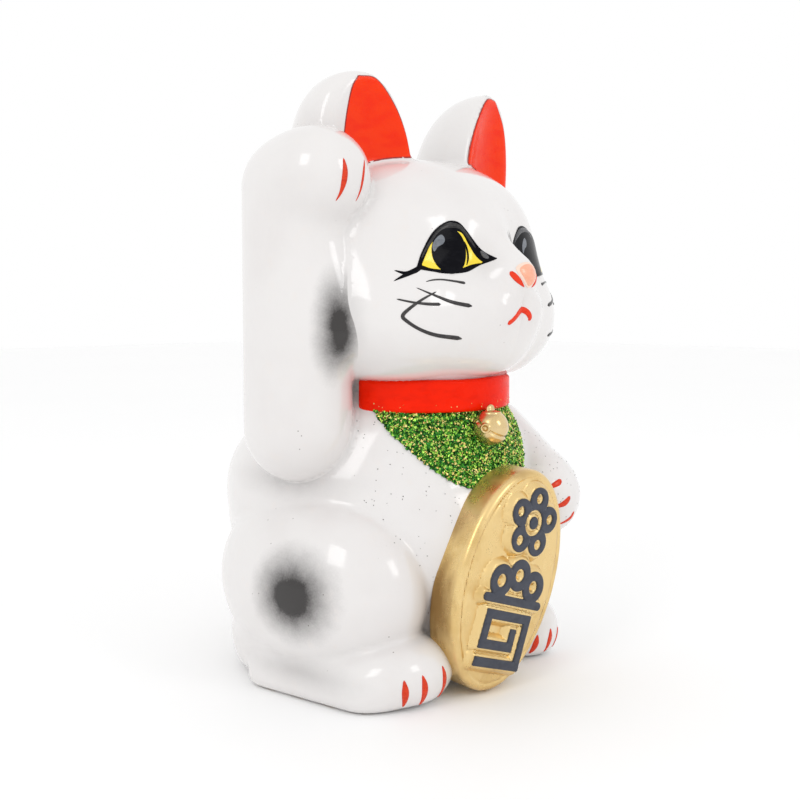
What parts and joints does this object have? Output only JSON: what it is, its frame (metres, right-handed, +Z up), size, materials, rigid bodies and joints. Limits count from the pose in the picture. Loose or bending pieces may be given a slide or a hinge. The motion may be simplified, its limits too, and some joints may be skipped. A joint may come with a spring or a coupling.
{
  "type": "beckoning cat figurine",
  "caption": "Seated beckoning cat bank in glazed earthenware, raised right paw, oval coin plaque, collar, bib and a rubber stopper in the base.",
  "frame": {"origin": "centre of the base disc, on the surface that the figure stands on", "axes": "+Z up; the cat looks along -Y; its own right side, with the raised arm, is -X"},
  "size_m": [0.1483, 0.1499, 0.2362],
  "materials": {
    "white_glaze": "gloss",
    "red_enamel": "gloss",
    "gilding": "gloss",
    "black_enamel": "gloss",
    "glitter": "gloss",
    "peach_enamel": "gloss",
    "stopper_rubber": "matte"
  },
  "bodies": {
    "figure": {"body_casting": "white_glaze", "base_disc": "white_glaze", "head_casting": "white_glaze", "raised_arm": "white_glaze", "resting_arm": "white_glaze", "koban_plaque": "gilding", "plum_blossom": "black_enamel", "cloud_scroll": "black_enamel", "key_fret": "black_enamel", "collar_band": "red_enamel", "bell": "gilding", "bib": "glitter", "right_ear_lining": "red_enamel", "left_ear_lining": "red_enamel", "right_eye": "black_enamel", "left_eye": "black_enamel", "nose": "peach_enamel", "mouth": "red_enamel"},
    "stopper": {"stopper": "stopper_rubber"}
  },
  "joints": [
    {"name": "stopper_pull", "type": "slide", "parent": "figure", "child": "stopper", "axis": [0, 0, -1], "range_m": [0, 0.03]}
  ]
}
